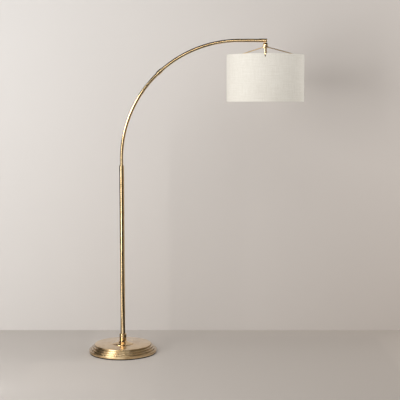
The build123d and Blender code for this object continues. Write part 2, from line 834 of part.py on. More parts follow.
arm_lead_bend = arm_height - stud_top - body_gap
with BuildLine(Plane.XZ) as arm_lead_path:
    Line((0, arm_foot + body_gap), (0, arc_start))
    CenterArc((arc_radius, arc_start), arc_radius, 180, -90)
    Line((arc_radius, arm_height), (head_x - arm_lead_bend, arm_height))
    CenterArc((head_x - arm_lead_bend, arm_height - arm_lead_bend), arm_lead_bend, 90, -90)
arm_lead = lead(arm_lead_path)

swivel_lead = tube(lead_radius, 0, ball_height - ball_flat + body_gap, stud_top, head_x)
head_lead = tube(lead_radius, 0, knob_height + 5.5, cup_bottom + cup_ring_thickness - body_gap, head_x)

# ---------------------------------------------------------------- writing the pieces

lamp = {
    "base_pad": base_pad,
    "base_plate": base_plate,
    "plate_screws": plate_screws,
    "base_weight": base_weight,
    "base_cover": base_cover,
    "cord_gland": cord_gland,
    "stem_washer": stem_washer,
    "stem_lock_washer": stem_lock_washer,
    "stem_nut": stem_nut,
    "stem_tube": stem_tube,
    "base_flange": base_flange,
    "base_collar": base_collar,
    "pole_foot_plug": pole_foot_plug,
    "pole_lower": pole_lower,
    "pole_joiner": pole_joiner,
    "pole_upper": pole_upper,
    "pole_top_bush": pole_top_bush,
    "arm_set_screw": arm_set_screw,
    "pole_lead": pole_lead,
    "arc_lower": arc_lower,
    "arc_inner_joiner": arc_inner_joiner,
    "arc_coupler": arc_coupler,
    "coupler_screws": coupler_screws,
    "arc_upper": arc_upper,
    "arm_end_sleeve": arm_end_sleeve,
    "arm_end_cap": arm_end_cap,
    "arm_lead": arm_lead,
    "ball_stud": ball_stud,
    "stud_nut": stud_nut,
    "swivel_lead": swivel_lead,
    "swivel_cup": swivel_cup,
    "cup_ring": cup_ring,
    "head_pipe": head_pipe,
    "head_stem": head_stem,
    "pipe_nut": pipe_nut,
    "shade_hub": shade_hub,
    "spider_arm_front": spider_arms["front"],
    "spider_arm_left": spider_arms["left"],
    "spider_arm_right": spider_arms["right"],
    "rim_clips": rim_clips,
    "shade_top_ring": shade_top_ring,
    "shade_bottom_ring": shade_bottom_ring,
    "shade_liner": shade_liner,
    "shade_fabric": shade_fabric,
    "socket_cap": socket_cap,
    "socket_shell": socket_shell,
    "socket_insulator": socket_insulator,
    "screw_shell": screw_shell,
    "centre_contact": centre_contact,
    "switch_knob": switch_knob,
    "bulb_base": bulb_base,
    "bulb_glass": bulb_glass,
    "head_lead": head_lead,
}

os.makedirs("parts", exist_ok=True)
for name, piece in lamp.items():
    piece.part.label = name
    export_step(piece.part, f"parts/{name}.step")
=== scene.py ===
# %% [markdown]
# # An arc floor lamp
# A heavy stepped base, a pole, an arm that bends over in a quarter circle, and a linen drum shade
# that hangs from a ball joint. The engineering model gives every size and every joint. This lesson
# loads it as a fixed frame, gives each of its pieces the finish of the real one, and remodels the
# pieces whose surface shows more than a plain solid can: the cloth shade, its frame and the fittings.

# %% Load the frame
import math

import bmesh
import bpy
from mathutils import Matrix, Vector
from mathutils.geometry import interpolate_bezier


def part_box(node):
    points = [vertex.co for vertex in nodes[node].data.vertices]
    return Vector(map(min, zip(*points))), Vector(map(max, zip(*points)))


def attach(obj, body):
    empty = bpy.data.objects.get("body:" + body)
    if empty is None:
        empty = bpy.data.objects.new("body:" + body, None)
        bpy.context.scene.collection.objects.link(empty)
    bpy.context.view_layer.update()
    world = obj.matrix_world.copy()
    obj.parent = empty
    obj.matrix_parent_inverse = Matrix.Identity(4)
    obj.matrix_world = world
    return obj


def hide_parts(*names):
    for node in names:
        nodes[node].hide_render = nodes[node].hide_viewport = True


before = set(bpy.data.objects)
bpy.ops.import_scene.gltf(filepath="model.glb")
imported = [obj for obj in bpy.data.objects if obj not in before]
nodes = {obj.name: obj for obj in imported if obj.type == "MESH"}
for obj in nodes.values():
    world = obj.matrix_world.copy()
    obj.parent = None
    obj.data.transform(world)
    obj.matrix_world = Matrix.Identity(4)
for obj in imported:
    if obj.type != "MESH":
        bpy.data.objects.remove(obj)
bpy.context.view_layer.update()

MM = 0.001

# %% [markdown]
# ## Sizes from the frame
# A piece that fits another takes its size from it, so the places below are read from the frame.
# Only what a box can't give, such as a wall's thickness, is written as a number, in millimetres.

# %% Places and sizes


def low(node):
    """A node's lowest corner."""
    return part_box(node)[0]


def high(node):
    """A node's highest corner."""
    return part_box(node)[1]


head = (low("shade_liner") + high("shade_liner")) / 2
shade_radius = high("shade_fabric").y
shade_low = low("shade_fabric").z
shade_high = high("shade_fabric").z
hub_low = low("shade_hub").z
hub_high = high("shade_hub").z
hub_radius = high("shade_hub").y
arm_height = (low("arm_end_cap").z + high("arm_end_cap").z) / 2
arc_radius = 700 * MM
arc_start = arm_height - arc_radius
print("shade axis at x", round(head.x, 4), "and the arm at height", round(arm_height, 4))

# %% [markdown]
# ## The camera and the room
# The lamp stands on a pale floor, just in front of a pale wall. A long lens a good way off keeps its
# upright lines upright. Matt paint gives both their tone, and its colour is painted brighter high on
# the left and dimmer low on the right: a painted falloff of the key light.

# %% Colour and node helpers


def linear(code, alpha=1.0):
    """An sRGB hex code, as a picture editor gives it, as linear red, green, blue and alpha."""
    parts = [int(code[i : i + 2], 16) / 255 for i in (1, 3, 5)]
    return (*[p / 12.92 if p <= 0.04045 else ((p + 0.055) / 1.055) ** 2.4 for p in parts], alpha)


def add(tree, kind, inputs=None, stops=(), **settings):
    """Adds a shader node. An input is a value to set, a socket to link, or a node, whose first
    output in use is linked. stops are a colour ramp's (position, hex code) pairs."""
    node = tree.nodes.new("ShaderNode" + kind)
    for name, value in settings.items():
        setattr(node, name, value)
    for name, value in (inputs or {}).items():
        if isinstance(value, bpy.types.Node):
            value = next(socket for socket in value.outputs if socket.enabled)
        if isinstance(value, bpy.types.NodeSocket):
            tree.links.new(value, node.inputs[name])
        else:
            node.inputs[name].default_value = value
    for index, (position, code) in enumerate(stops):
        if index >= len(node.color_ramp.elements):
            node.color_ramp.elements.new(1.0)
        node.color_ramp.elements[index].position = position
        node.color_ramp.elements[index].color = linear(code)
    return node


def new_material(name):
    """An empty material, as (material, its node tree)."""
    material = bpy.data.materials.new(name)
    material.use_nodes = True
    material.node_tree.nodes.clear()
    return material, material.node_tree


# %% Floor and wall
WALL_Y = 0.58
ROOM_WIDTH = 9.0
ROOM_DEPTH = 9.0
ROOM_HEIGHT = 2.7


def room_plane(name, corners, material):
    """A flat part of the room, marked as no part of the lamp."""
    bm = bmesh.new()
    bm.faces.new([bm.verts.new(corner) for corner in corners])
    mesh = bpy.data.meshes.new(name)
    bm.to_mesh(mesh)
    bm.free()
    mesh.materials.append(material)
    plane = bpy.data.objects.new(name, mesh)
    bpy.context.scene.collection.objects.link(plane)
    return plane


def painted(name, bright, dim, seen_from_behind):
    """Matt paint, with painted light where bright and dim differ: the colour runs from bright high on
    the left to dim low on the right, a painted falloff of the key light. A wall is clear from behind,
    so that other views see the lamp through it."""
    material, tree = new_material(name)
    place = add(tree, "TexCoord").outputs["Object"]
    # Painted light: the colour fades from bright to dim across and down, standing in for the key
    # light's falloff.
    lean = add(tree, "VectorMath", {0: place, 1: (1.0, 0.0, -0.5)}, operation="DOT_PRODUCT")
    painted_falloff = add(tree, "MapRange", {0: lean, 1: -1.9, 2: 1.9, 3: 0.0, 4: 1.0})
    colour = add(tree, "Mix", {0: painted_falloff, 6: linear(bright), 7: linear(dim)}, data_type="RGBA")
    paint = add(tree, "BsdfPrincipled", {"Base Color": colour, "Roughness": 0.75})
    if seen_from_behind:
        behind = add(tree, "NewGeometry").outputs["Backfacing"]
        clear = add(tree, "BsdfTransparent")
        paint = add(tree, "MixShader", {0: behind, 1: paint, 2: clear})
    add(tree, "OutputMaterial", {0: paint})
    return material


left, right = 0.5 - ROOM_WIDTH / 2, 0.5 + ROOM_WIDTH / 2
room_plane(
    "floor",
    [(left, -ROOM_DEPTH, 0), (right, -ROOM_DEPTH, 0), (right, ROOM_DEPTH, 0), (left, ROOM_DEPTH, 0)],
    painted("matt_floor_paint_with_painted_falloff", "#CFCAC5", "#B3ABA3", False),
)
room_plane(
    "wall",
    [(left, WALL_Y, 0), (right, WALL_Y, 0), (right, WALL_Y, ROOM_HEIGHT), (left, WALL_Y, ROOM_HEIGHT)],
    painted("matt_wall_paint_with_painted_falloff", "#D4D1CE", "#C4BCB5", True),
)
print("floor and wall laid,", ROOM_WIDTH, "m wide")

# %% [markdown]
# ## Light
# Polished metal has no colour of its own to show: it shows the room. So the light comes in two
# sorts. Three large soft boxes light the linen, the wall and the floor, and metal doesn't see them.
# Four others light nothing. Metal sees them as the narrow bright lines down each tube, and their
# brightness can then be set to suit the metal alone.

# %% Soft boxes


def soft_box(name, place, target, size, power):
    """An area light at a place, turned to face a target."""
    light = bpy.data.lights.new(name, "AREA")
    light.shape = "RECTANGLE"
    light.size, light.size_y = size
    light.energy = power
    box = bpy.data.objects.new(name, light)
    box.location = place
    box.rotation_euler = (Vector(target) - Vector(place)).to_track_quat("-Z", "Y").to_euler()
    bpy.context.scene.collection.objects.link(box)
    return box


middle = (0.3, 0.0, 1.0)
soft_box("key_soft_box", (-2.2, -2.8, 1.6), middle, (1.8, 2.6), 112).visible_glossy = False
soft_box("fill_soft_box", (3.3, -0.15, 1.6), middle, (2.0, 2.4), 36).visible_glossy = False
soft_box("top_soft_box", (0.6, -1.8, 3.8), (0.5, 0.2, 0.0), (3.4, 2.4), 32).visible_glossy = False

gleams = {
    "tall_gleam_box": ((-2.0, -2.9, 1.5), middle, (1.1, 2.8), 60),
    "foot_gleam_box": ((-0.67, -0.80, 0.36), (0.0, 0.0, 0.36), (0.26, 0.7), 2.0),
    "rod_gleam_box": ((-1.3, -0.7, 1.95), (0.85, 0.0, 1.8), (0.9, 0.9), 20),
    "front_gleam_box": ((0.5, -3.0, 2.45), middle, (2.4, 0.6), 26),
}
for name, (place, target, size, power) in gleams.items():
    box = soft_box(name, place, target, size, power)
    box.visible_diffuse = False
    box.visible_camera = False
print("soft boxes for light: 3, for reflections:", len(gleams))

# %% [markdown]
# A bright line only reads as metal with something dark beside it. A studio sets black and white
# cards round such a lamp, and so does this one. Only reflections meet them. Dark cards on the left,
# behind and on the floor darken the rims and the middle of each tube. A pale one lights its right
# side, and another brightens the front of the base.

# %% Reflection cards
DARK = "#1C1A18"
ON_FLOOR = 2 * MM
ON_WALL = WALL_Y - 10 * MM
CARD_TOP = 2.6


def card_corners(axis, at, first, second):
    """The corners of a card that lies across an axis at a place, from its two other spans."""
    corners = [(first[i], second[j]) for i, j in ((0, 0), (1, 0), (1, 1), (0, 1))]
    return [(*pair[:axis], at, *pair[axis:]) for pair in corners]


cards = {
    "dark_left_card": (card_corners(0, -1.5, (-0.7, WALL_Y), (0.0, CARD_TOP)), DARK),
    "dark_back_card": (card_corners(1, ON_WALL, (-1.5, -0.03), (0.52, 2.0)), "#332E28"),
    "dark_high_card": (card_corners(1, ON_WALL, (-1.35, 2.5), (2.0, ROOM_HEIGHT)), DARK),
    "dark_front_card": (card_corners(2, ON_FLOOR, (-2.5, 3.5), (-8.0, -1.1)), DARK),
    "dark_side_card": (card_corners(2, ON_FLOOR, (-1.35, -0.23), (-0.22, WALL_Y)), DARK),
    "dark_low_card": (card_corners(2, ON_FLOOR, (0.24, 1.6), (-1.1, 0.4)), DARK),
    "pale_foot_card": (card_corners(2, 1.5 * ON_FLOOR, (-0.5, 0.02), (-0.8, -0.215)), "#FFFFFF"),
    "pale_right_card": (card_corners(0, 2.5, (-2.4, -0.3), (0.0, CARD_TOP)), "#A49F99"),
}
for name, (corners, code) in cards.items():
    card = room_plane(name, corners, painted(f"{name}_paint", code, code, False))
    card.visible_camera = False
    card.visible_diffuse = False
    card.visible_shadow = False
print(len(cards), "reflection cards")

# %% [markdown]
# ## World and camera
# The world round the room is soft and pale for the camera and the paint, and nearly black for
# reflections, so that nothing but the boxes and cards shows in the metal.

# %% World and camera
world = bpy.data.worlds.new("studio")
world.use_nodes = True
bpy.context.scene.world = world
sky = world.node_tree
sky.nodes.clear()
rays = add(sky, "LightPath").outputs
pale = add(sky, "Background", {0: linear("#D2CECA"), 1: 1.0})
soft = add(sky, "Background", {0: linear("#E6E1DC"), 1: 0.39})
dim = add(sky, "Background", {0: linear("#CFC8C2"), 1: 0.06})
unlit = add(sky, "MixShader", {0: rays["Is Glossy Ray"], 1: soft, 2: dim})
add(sky, "OutputWorld", {0: add(sky, "MixShader", {0: rays["Is Camera Ray"], 1: unlit, 2: pale})})
bpy.context.scene.view_settings.view_transform = "Standard"

camera = bpy.data.cameras.new("camera")
camera.lens = 90
camera.sensor_width = 36
viewer = bpy.data.objects.new("camera", camera)
viewer.location = (0.466, -5.941, 1.509)
viewer.rotation_euler = (math.radians(90 - 5.62), 0, 0)
bpy.context.scene.collection.objects.link(viewer)
bpy.context.scene.camera = viewer
print("room and camera ready")

# %% [markdown]
# ## Brass
# The metalwork is brass, brushed with a fine abrasive and clear lacquered. To the eye that is a
# warm gold which still mirrors the room softly. The brushing runs round and round on spun and
# turned pieces and lengthwise on drawn tube, so its direction tells how a piece was made. The
# pattern is noise on Object coordinates that are squeezed across the brushing and stretched along
# it. Real brushing lines are some 0.1 mm apart. They are drawn at 0.5 mm, so that a close view
# shows them. Two broader noises add the slight clouding that lacquer gets with handling. The
# shade's thin rods point three ways and show no brushing, so theirs is only a soft mottle.

# %% Brass
LINE = 0.5 * MM
STREAK = 60 * MM
MOTTLE = 9 * MM
STEP_RISE = 10.6 * MM
base_high = high("base_cover").z
first_step = base_high - 3 * STEP_RISE


def along_axes(scale):
    """Brushing along one of the axes: scale is small on that axis and large on the others."""
    def lines(tree):
        place = add(tree, "TexCoord").outputs["Object"]
        return add(tree, "VectorMath", {0: place, 1: scale}, operation="MULTIPLY")
    return lines


def round_axis(centre):
    """Brushing round an upright axis. Radius less height changes fast on both tops and sides."""
    def lines(tree):
        place = add(tree, "TexCoord").outputs["Object"]
        moved = add(tree, "VectorMath", {0: place, 1: (centre, 0, 0)}, operation="SUBTRACT")
        flat = add(tree, "VectorMath", {0: moved, 1: (1, 1, 0)}, operation="MULTIPLY")
        radius = add(tree, "VectorMath", {0: flat}, operation="LENGTH")
        way = add(tree, "SeparateXYZ", {0: add(tree, "VectorMath", {0: flat}, operation="NORMALIZE")})
        height = add(tree, "SeparateXYZ", {0: place}).outputs["Z"]
        across = add(tree, "Math", {0: height, 1: -0.8, 2: radius}, operation="MULTIPLY_ADD")
        fast = add(tree, "Math", {0: across, 1: 1 / LINE}, operation="MULTIPLY")
        return add(tree, "CombineXYZ", {0: way.outputs["X"], 1: way.outputs["Y"], 2: fast})
    return lines


def along_arc(tree):
    """Brushing along the bent arm: fast across it, slow with the turn about the arc's centre."""
    place = add(tree, "TexCoord").outputs["Object"]
    moved = add(tree, "VectorMath", {0: place, 1: (arc_radius, 0, arc_start)}, operation="SUBTRACT")
    axes = add(tree, "SeparateXYZ", {0: moved}).outputs
    flat = add(tree, "VectorMath", {0: moved, 1: (1, 0, 1)}, operation="MULTIPLY")
    away = add(tree, "VectorMath", {0: flat}, operation="LENGTH")
    turn = add(tree, "Math", {0: axes["Z"], 1: axes["X"]}, operation="ARCTAN2")
    joined = add(tree, "CombineXYZ", {0: away, 1: turn, 2: axes["Y"]})
    scale = (1 / LINE, arc_radius / STREAK, 1 / LINE)
    return add(tree, "VectorMath", {0: joined, 1: scale}, operation="MULTIPLY")


def step_painted_shade(tree):
    """Painted shade: 1 in the corner at the foot of each step, where shade falls, and 0 elsewhere."""
    height = add(tree, "SeparateXYZ", {0: add(tree, "TexCoord").outputs["Object"]}).outputs["Z"]
    above = add(tree, "Math", {0: height, 1: first_step - 0.2 * MM}, operation="SUBTRACT")
    steps = add(tree, "Math", {0: above, 1: STEP_RISE}, operation="DIVIDE")
    place = add(tree, "Math", {0: steps}, operation="FRACT")
    dark = add(tree, "MapRange", {0: place, 1: 0.03, 2: 0.22, 3: 1.0, 4: 0.0})
    counted = add(tree, "Math", {0: above, 1: 0.0}, operation="GREATER_THAN")
    below = add(tree, "Math", {0: height, 1: base_high - 2 * MM}, operation="LESS_THAN")
    on_steps = add(tree, "Math", {0: counted, 1: below}, operation="MULTIPLY")
    return add(tree, "Math", {0: dark, 1: on_steps}, operation="MULTIPLY")


def brass(name, lines, roughness, painted_shade=None):
    """Brushed and lacquered brass, with its brushing drawn along given lines."""
    material, tree = new_material(name)
    place = add(tree, "TexCoord").outputs["Object"]
    brushing = add(tree, "TexNoise", {0: lines(tree), "Scale": 1.0, "Detail": 3.0, "Roughness": 0.6})
    cloud = add(tree, "TexNoise", {0: place, "Scale": 1 / (60 * MM), "Detail": 4.0})
    spots = add(tree, "TexNoise", {0: place, "Scale": 1 / (8 * MM), "Detail": 2.0})
    both = add(tree, "Mix", {0: 0.65, 2: brushing, 3: cloud})
    colour = add(
        tree, "ValToRGB", {0: both}, [(0.32, "#D2AE78"), (0.48, "#E0BF8C"), (0.64, "#E9CFA2")]
    )
    # Painted shade: the foot of each step is darkened toward a deep brown, as shade falls in that
    # corner.
    if painted_shade:
        shade_amount = add(tree, "Math", {0: painted_shade(tree), 1: 0.55}, operation="MULTIPLY")
        shaded_colour = {0: shade_amount, 6: colour, 7: linear("#6A4A20")}
        colour = add(tree, "Mix", shaded_colour, data_type="RGBA")
    wear = add(tree, "Mix", {0: 0.5, 2: brushing, 3: spots})
    rough = add(tree, "MapRange", {0: wear, 1: 0.3, 2: 0.7, 3: roughness - 0.04, 4: roughness + 0.06})
    bump = add(tree, "Bump", {"Strength": 0.12, "Distance": 0.01 * MM, "Height": brushing})
    shader = {"Base Color": colour, "Metallic": 1.0, "Roughness": rough, "Normal": bump}
    lacquer = {"Coat Weight": 1.0, "Coat Roughness": 0.1}
    add(tree, "OutputMaterial", {0: add(tree, "BsdfPrincipled", {**shader, **lacquer})})
    print("finish", name)
    return material


# The spun cover gets painted shade at the foot of each step.
spun_brass = brass("spun_brushed_brass", round_axis(0), 0.3, step_painted_shade)
turned_brass = brass("turned_brushed_brass", round_axis(0), 0.21)
pole_brass = brass("drawn_brass_tube", along_axes((1 / LINE, 1 / LINE, 1 / STREAK)), 0.15)
arm_brass = brass("bent_brass_tube", along_arc, 0.15)
head_brass = brass("turned_brass_head_fitting", round_axis(head.x), 0.15)
end_brass = brass("turned_brass_end_fitting", along_axes((1 / LINE, 1 / MOTTLE, 1 / MOTTLE)), 0.16)
rod_brass = brass("drawn_brass_rod", along_axes((1 / MOTTLE, 1 / MOTTLE, 1 / MOTTLE)), 0.32)
bare_brass = brass("bare_machined_brass", round_axis(head.x), 0.28)

# %% [markdown]
# ## The plain finishes
# Rubber, enamel, iron, zinc plate and moulded plastic show when the lamp is tipped up or looked at
# from inside the shade. Each has a grain at its real size. Foam rubber and sand-cast iron are
# pitted at about a millimetre, and the others are nearly smooth but never one flat colour.

# %% Plain finishes


def grained(name, dark, light, roughness, grain, depth, **sockets):
    """A finish with a mottled colour and a bumpy grain, both of a real size."""
    material, tree = new_material(name)
    place = add(tree, "TexCoord").outputs["Object"]
    fine = add(tree, "TexNoise", {0: place, "Scale": 1 / grain, "Detail": 4.0})
    wide = add(tree, "TexNoise", {0: place, "Scale": 1 / (20 * grain), "Detail": 3.0})
    both = add(tree, "Mix", {0: 0.5, 2: fine, 3: wide})
    colour = add(tree, "ValToRGB", {0: both}, [(0.38, dark), (0.62, light)])
    rough = add(tree, "MapRange", {0: wide, 1: 0.3, 2: 0.7, 3: roughness - 0.06, 4: roughness + 0.06})
    bump = add(tree, "Bump", {"Strength": 0.4, "Distance": depth, "Height": fine})
    shader = {"Base Color": colour, "Roughness": rough, "Normal": bump, **sockets}
    add(tree, "OutputMaterial", {0: add(tree, "BsdfPrincipled", shader)})
    print("finish", name)
    return material


METAL = {"Metallic": 1.0}
DULL = {"Specular IOR Level": 0.15}
foam_pad = grained("black_foam_rubber", "#080808", "#141312", 0.85, 0.8 * MM, 0.12 * MM, **DULL)
black_enamel = grained("black_stoved_enamel", "#080808", "#121212", 0.6, 0.5 * MM, 0.02 * MM, **DULL)
cast_iron = grained("sand_cast_iron", "#3A3836", "#57534F", 0.7, 1.1 * MM, 0.3 * MM, **METAL)
zinc_plate = grained("bright_zinc_plate", "#9A9CA0", "#C3C5C8", 0.32, 0.7 * MM, 0.01 * MM, **METAL)
black_rubber = grained("moulded_black_rubber", "#101010", "#1B1B1B", 0.62, 0.6 * MM, 0.03 * MM)
powder_coat = grained("white_powder_coat", "#E2E0DA", "#EFEDE8", 0.5, 0.5 * MM, 0.04 * MM)
phenolic = grained("black_phenolic_moulding", "#0D0B0A", "#1B1816", 0.3, 0.9 * MM, 0.01 * MM)
styrene = grained("white_styrene_lining", "#E7E3DA", "#F3F0EA", 0.45, 1.5 * MM, 0.02 * MM)
aluminium = grained("rolled_aluminium", "#B4B6B8", "#D6D7D8", 0.3, 0.5 * MM, 0.01 * MM, **METAL)
gold_jacket = grained("clear_gold_jacket", "#8A6A2E", "#B08C4A", 0.3, 0.7 * MM, 0.01 * MM)
opal = grained("frosted_bulb_glass", "#EBE9E3", "#F6F5F1", 0.35, 0.4 * MM, 0.01 * MM)

# %% [markdown]
# ## Linen
# The shade is off-white plain-weave linen on a stiff lining. Its thread is spun from long fibres,
# so each thread swells and thins along its length, and those slubs are what makes linen look like
# linen. The pattern reads the cloth's own UV map, laid out in metres round the drum and up it, so
# the threads run true. Two sine waves cross: where their product is above zero the warp lies on top,
# elsewhere the weft does, which is plain weave. Thread is 0.7 mm apart, and it is drawn at 1.2 mm.
# Two broader noises draw the heavier slubs, which are what is still seen from across a room.

# %% Linen
THREAD = 1.2 * MM
SLUB_LENGTH = 24 * MM
HEAVY_SLUB = 5 * MM
HEAVY_LENGTH = 90 * MM


def linen(name, dark, main, light):
    """Plain-weave cloth in UV metres, with slubs along warp and weft."""
    material, tree = new_material(name)
    cloth = add(tree, "UVMap", uv_map="weave")
    axes = add(tree, "SeparateXYZ", {0: cloth}).outputs
    squeezes = {
        "X": ((1 / THREAD, 1 / SLUB_LENGTH, 0), (1 / HEAVY_SLUB, 1 / HEAVY_LENGTH, 0)),
        "Y": ((1 / SLUB_LENGTH, 1 / THREAD, 0), (1 / HEAVY_LENGTH, 1 / HEAVY_SLUB, 0)),
    }
    waves = {}
    slubs = {}
    heavy = {}
    for axis, (fine, coarse) in squeezes.items():
        phase = add(tree, "Math", {0: axes[axis], 1: math.pi / THREAD}, operation="MULTIPLY")
        waves[axis] = add(tree, "Math", {0: phase}, operation="SINE")
        spun = add(tree, "VectorMath", {0: cloth, 1: fine}, operation="MULTIPLY")
        slubs[axis] = add(tree, "TexNoise", {0: spun, "Scale": 1.0, "Detail": 2.0})
        thick = add(tree, "VectorMath", {0: cloth, 1: coarse}, operation="MULTIPLY")
        heavy[axis] = add(tree, "TexNoise", {0: thick, "Scale": 1.0, "Detail": 2.0})
    product = add(tree, "Math", {0: waves["X"], 1: waves["Y"]}, operation="MULTIPLY")
    on_top = add(tree, "MapRange", {0: product, 1: -0.15, 2: 0.15, 3: 0.0, 4: 1.0})
    crown = add(tree, "Math", {0: product}, operation="ABSOLUTE")
    thread = add(tree, "Mix", {0: on_top, 2: slubs["Y"], 3: slubs["X"]})
    broad = add(tree, "Mix", {0: 0.5, 2: heavy["X"], 3: heavy["Y"]})
    fibre = add(tree, "Mix", {0: 0.55, 2: thread, 3: broad})
    tone = add(tree, "Mix", {0: 0.16, 2: fibre, 3: crown})
    colour = add(tree, "ValToRGB", {0: tone}, [(0.26, dark), (0.48, main), (0.7, light)])
    raised = add(tree, "Math", {0: crown, 1: thread}, operation="MULTIPLY")
    bump = add(tree, "Bump", {"Strength": 0.35, "Distance": 0.15 * MM, "Height": raised})
    shader = {"Base Color": colour, "Roughness": 0.9, "Normal": bump}
    fuzz = {"Sheen Weight": 0.12, "Sheen Roughness": 0.5}
    add(tree, "OutputMaterial", {0: add(tree, "BsdfPrincipled", {**shader, **fuzz})})
    print("finish", name)
    return material


shade_linen = linen("off_white_linen", "#CEC9BE", "#E0DCD2", "#EDEBE5")

# %% [markdown]
# ## Finishes for the pieces that stay as they are
# Tubes, plates and machined fittings have their true shape in the engineering model already, so
# they only need their finish. Each goes in its node's own material slot.

# %% Finish the engineering pieces
finishes = {
    turned_brass: ["pole_top_bush"],
    pole_brass: ["pole_lower", "pole_upper"],
    arm_brass: ["arc_lower", "arc_upper", "arc_coupler"],
    end_brass: ["arm_end_sleeve", "arm_end_cap"],
    head_brass: ["swivel_cup", "cup_ring", "socket_cap"],
    bare_brass: ["ball_stud", "stud_nut", "centre_contact", "screw_shell"],
    foam_pad: ["base_pad"],
    black_enamel: ["base_plate"],
    cast_iron: ["base_weight"],
    zinc_plate: ["plate_screws", "stem_washer", "stem_lock_washer", "stem_nut", "stem_tube",
                 "pole_foot_plug", "pole_joiner", "arc_inner_joiner", "head_pipe", "pipe_nut",
                 "arm_set_screw", "coupler_screws"],
    black_rubber: ["cord_gland"],
    phenolic: ["socket_insulator", "switch_knob"],
    opal: ["bulb_glass"],
    gold_jacket: ["pole_lead", "arm_lead", "swivel_lead", "head_lead"],
}
for material, names in finishes.items():
    for name in names:
        nodes[name].material_slots[0].material = material
print(sum(len(names) for names in finishes.values()), "nodes finished")

# %% [markdown]
# ## A lathe
# Nearly all of a lamp is round. A workshop makes such a piece on a lathe, and `bmesh.ops.spin` makes
# it here: an outline of radius and height turns about an axis. A vertex bevel first eases the
# outline's corners, because a corner with no radius never catches the light.

# %% Modelling helpers
SHARP = math.radians(32)


def keep(name, bm, material, body, slot, *stands_for):
    """Turns a finished bmesh into a piece that rides on a body, in place of its CAD nodes."""
    bmesh.ops.recalc_face_normals(bm, faces=bm.faces)
    for face in bm.faces:
        face.smooth = True
    for edge in bm.edges:
        edge.smooth = edge.calc_face_angle(0.0) < SHARP
    mesh = bpy.data.meshes.new(name)
    bm.to_mesh(mesh)
    bm.free()
    mesh.materials.append(material)
    piece = bpy.data.objects.new(name, mesh)
    bpy.context.scene.collection.objects.link(piece)
    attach(piece, body)
    if stands_for:
        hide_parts(*stands_for)
    print(name, len(mesh.polygons), "faces,", [round(v / MM, 1) for v in piece.dimensions], "mm")
    return piece


def lathe(outline, steps=96, open_ends=False, start=0.0):
    """Turns corners of (radius, height, easing) about the Z axis, from a start angle. The outline
    closes on itself, unless it starts and ends on the axis or its ends are left open. The layer
    named along holds how far along the outline each point is."""
    bm = bmesh.new()
    along = bm.verts.layers.float.new("along")
    corners = [bm.verts.new((radius, 0, height)) for radius, height, ease in outline]
    on_axis = outline[0][0] == 0 and outline[-1][0] == 0
    closing = [] if open_ends or on_axis else [(corners[-1], corners[0])]
    for pair in list(zip(corners, corners[1:])) + closing:
        bm.edges.new(pair)
    eased = {}
    for corner, (radius, height, ease) in zip(corners, outline):
        if ease:
            eased.setdefault(ease, []).append(corner)
    for ease, group in eased.items():
        bmesh.ops.bevel(
            bm, geom=group, offset=ease, offset_type="OFFSET", segments=4, profile=0.5,
            affect="VERTICES", material=-1,
        )
    if open_ends:
        point = next(vert for vert in bm.verts if len(vert.link_edges) == 1)
        edge = None
        while len(point.link_edges) == 2 or edge is None:
            edge = next(other for other in point.link_edges if other != edge)
            onward = edge.other_vert(point)
            onward[along] = point[along] + edge.calc_length()
            point = onward
    bmesh.ops.rotate(bm, verts=bm.verts, matrix=Matrix.Rotation(start, 3, "Z"))
    bmesh.ops.spin(
        bm, geom=bm.verts[:] + bm.edges[:], cent=(0, 0, 0), axis=(0, 0, 1), angle=2 * math.pi,
        steps=steps, use_merge=True,
    )
    bmesh.ops.remove_doubles(bm, verts=bm.verts, dist=1e-6)
    return bm


def placed(bm, matrix):
    """Moves a whole bmesh by a matrix and gives it back."""
    bmesh.ops.transform(bm, matrix=matrix, verts=bm.verts)
    return bm


def joined(parts):
    """Several bmeshes as one."""
    whole = bmesh.new()
    for part in parts:
        mesh = bpy.data.meshes.new("part")
        part.to_mesh(mesh)
        part.free()
        whole.from_mesh(mesh)
        bpy.data.meshes.remove(mesh)
    return whole


at_head = Matrix.Translation((head.x, 0, 0))
print("helpers ready")

# %% [markdown]
# ## The base's cover
# The cover is spun from thin sheet over a former: a skirt, three steps and a flat top. Its corners
# are round, as sheet can't be bent sharp, and each foot of a step is a small hollow. The shell is
# one closed outline on the lathe. A square window at the back lets the cord's gland through. Its
# corners stay hidden behind the gland's flange.

# %% Base cover
COVER_WALL = 1.6 * MM
STEP_WIDTH = 11 * MM
STEP_ROUND = 3.2 * MM
STEP_HOLLOW = 0.8 * MM
base_radius = high("base_cover").x
cover_low = low("base_cover").z
stem_hole = high("stem_tube").y + 0.05 * MM


def cover_side(inset, bore):
    """The cover's outline from the bore to the rim, set in by a wall's thickness."""
    line = [(bore, base_high - inset, 0)]
    for count in (3, 2, 1):
        radius = base_radius - count * STEP_WIDTH - inset
        height = base_high - (3 - count) * STEP_RISE - inset
        line.append((radius, height, STEP_ROUND - inset))
        line.append((radius, height - STEP_RISE, STEP_HOLLOW + inset / 2))
    rim = base_radius - inset
    return line + [(rim, first_step - inset, STEP_ROUND - inset), (rim, cover_low, 0)]


cover = lathe(cover_side(0, stem_hole) + cover_side(COVER_WALL, stem_hole)[::-1], steps=256)
print("cover spun,", len(cover.faces), "faces")

# %% Window for the gland
WINDOW = 4.1 * MM
at_back = base_radius - 9 * MM
gland_height = (low("cord_gland").z + high("cord_gland").z) / 2


def near_gland(bm, half_width, half_height):
    """The faces at the back whose centres are near the gland's axis."""
    centres = [(face, face.calc_center_median()) for face in bm.faces]
    return [
        face for face, centre in centres
        if centre.y > at_back
        and abs(centre.x) < half_width
        and abs(centre.z - gland_height) < half_height
    ]


